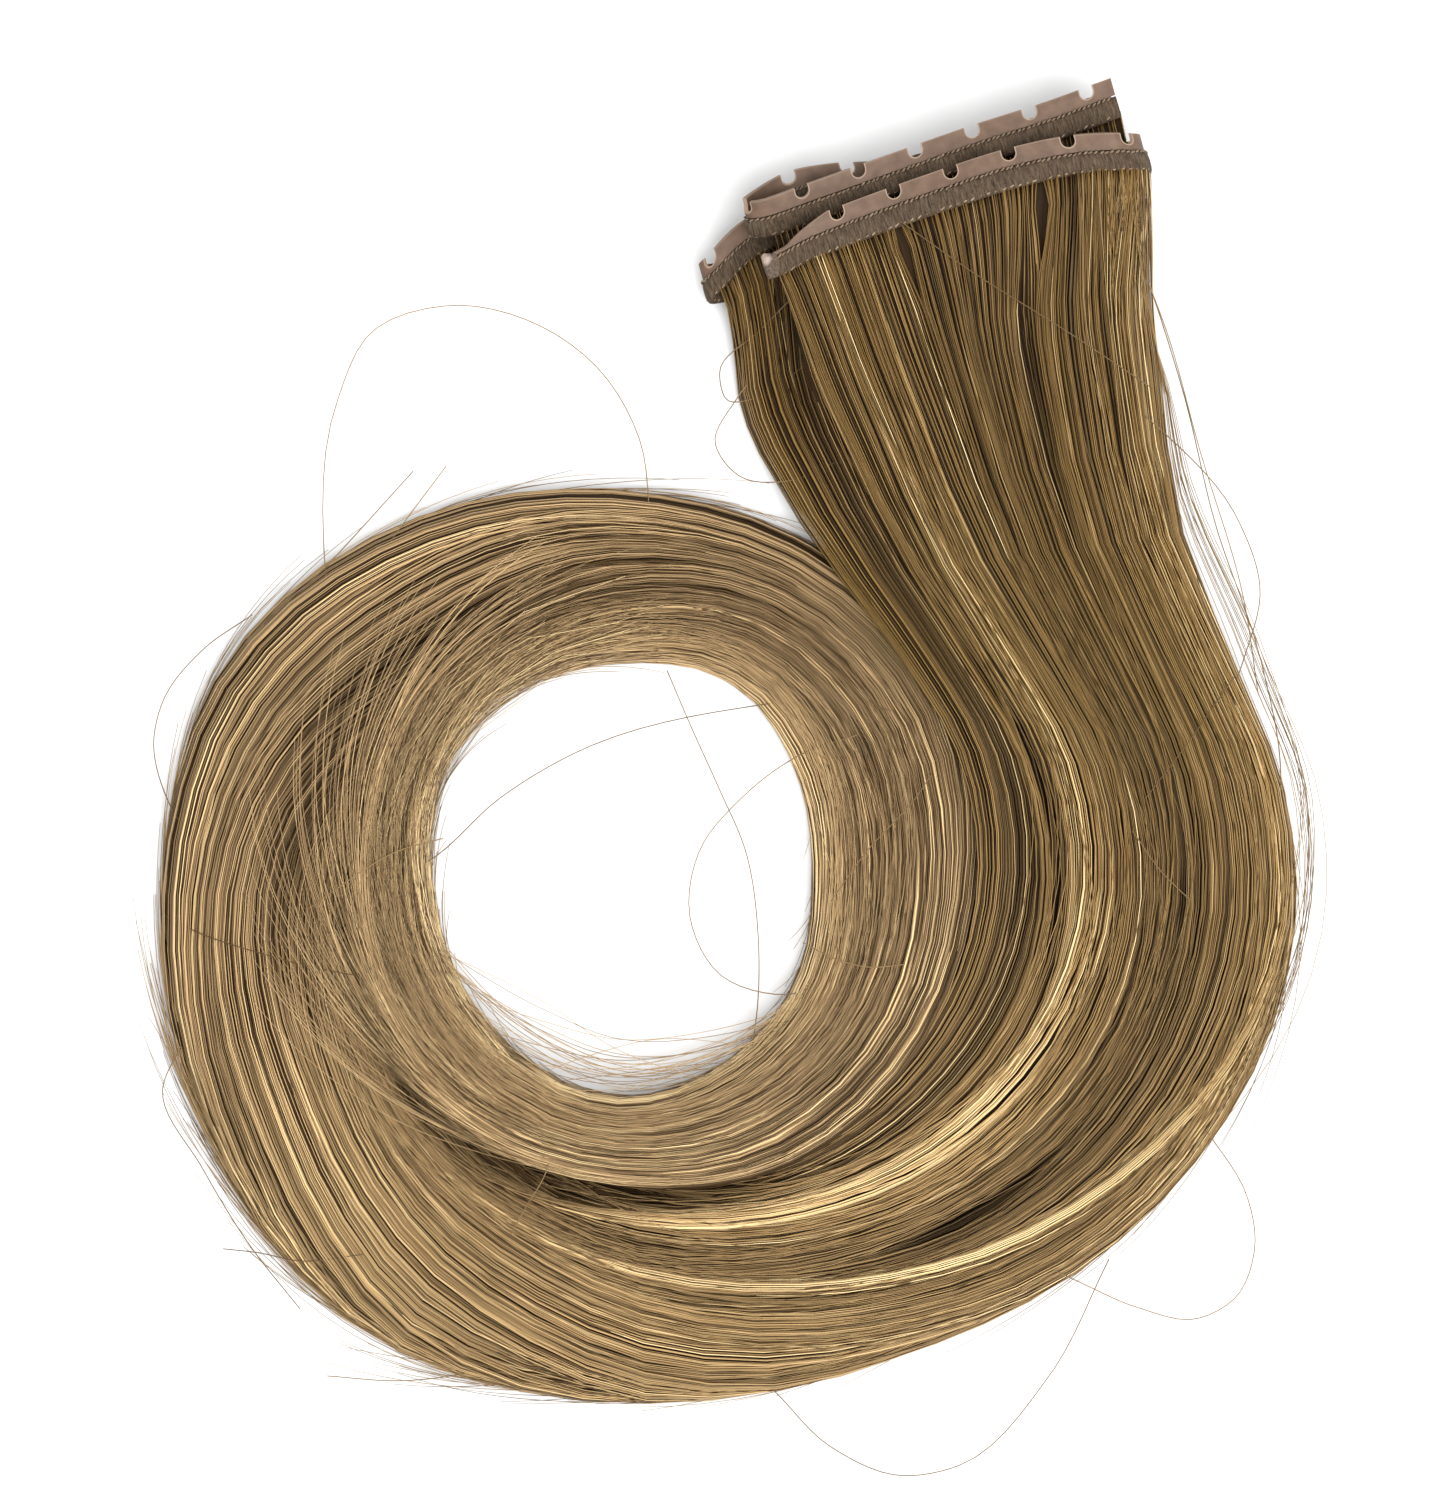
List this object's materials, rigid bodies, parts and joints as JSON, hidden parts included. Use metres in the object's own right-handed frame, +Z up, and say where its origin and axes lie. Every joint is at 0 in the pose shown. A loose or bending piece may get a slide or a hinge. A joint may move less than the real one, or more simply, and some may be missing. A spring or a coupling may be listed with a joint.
{
  "type": "butterfly weft hair extension",
  "caption": "Hair extension weft with a notched soft tape and a sewn band folded into a stack, its long brown to blonde hair laid out in a flat open coil.",
  "frame": {"origin": "under the middle of the part's box, on the surface it lies on", "axes": "+Z up from the surface, +Y along the part's longest side towards the weft, +X to the right of the weft seen from above"},
  "size_m": [0.1435, 0.1662, 0.0129],
  "materials": {
    "soft_tape": "smooth satin taupe soft plastic",
    "seam": "hair ends sewn flat with thread",
    "glue": "dried drop of glue",
    "hair": "glossy brown to blonde strands"
  },
  "bodies": {
    "root": {"notched_tape": "soft_tape", "sewn_band": "seam", "end_seal": "glue", "hair": "hair"}
  },
  "joints": []
}
